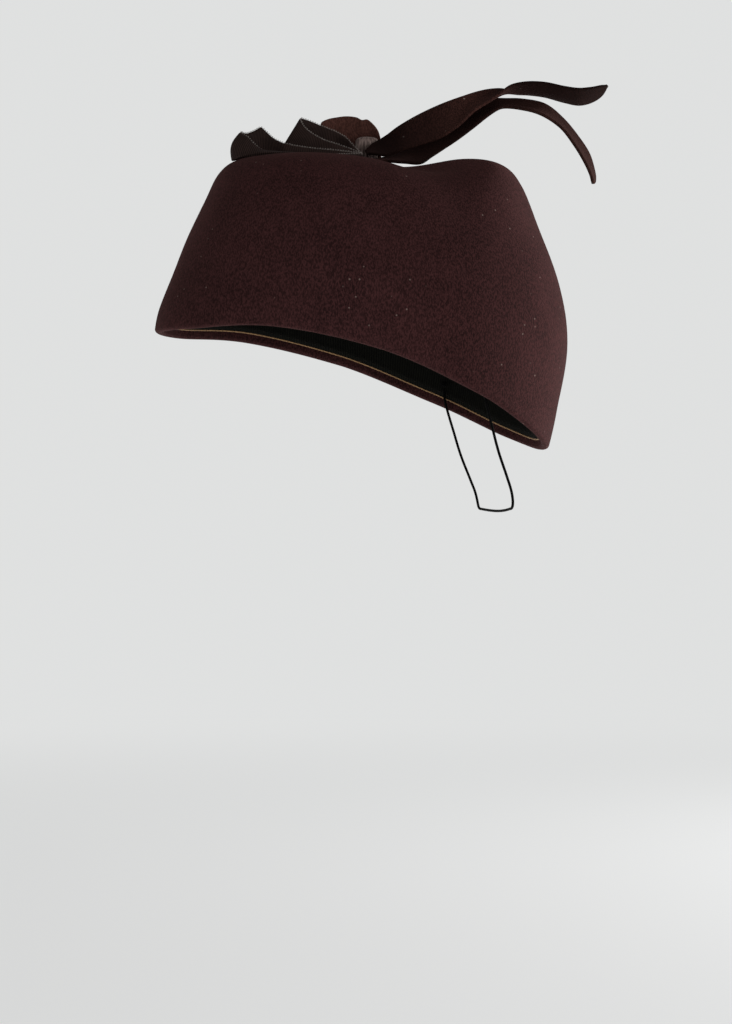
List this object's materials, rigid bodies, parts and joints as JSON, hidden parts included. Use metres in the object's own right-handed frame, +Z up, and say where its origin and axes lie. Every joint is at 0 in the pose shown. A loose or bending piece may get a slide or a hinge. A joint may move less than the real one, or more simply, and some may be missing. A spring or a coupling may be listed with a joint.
{
  "type": "felt toque hat with ribbon and felt trim and a nape elastic",
  "caption": "Tall brown felt toque, open below for a head, with ribbon loops and felt tails on top and a thin elastic that hangs at the nape.",
  "frame": {"origin": "middle of the head opening, between the felt edge at the brow and at the nape, where a head holds the hat", "axes": "+Z up through the crown, -Y towards the brow, +Y towards the nape, +X towards the wearer's left"},
  "size_m": [0.1624, 0.241, 0.228],
  "materials": {
    "felt": "dark chocolate brown wool felt with a short brushed nap",
    "grosgrain": "very dark brown ribbed grosgrain ribbon with pale picot edges",
    "wrap": "dull taupe cloth",
    "elastic": "black covered round elastic"
  },
  "bodies": {
    "root": {"crown": "felt", "sweatband": "grosgrain", "knot_wrap": "wrap", "ribbon_loop_front": "grosgrain", "ribbon_loop_middle": "grosgrain", "felt_loop": "felt", "tail_upper": "felt", "tail_lower": "felt", "elastic_cord": "elastic", "elastic_knot_left": "elastic", "elastic_knot_right": "elastic"}
  },
  "joints": []
}
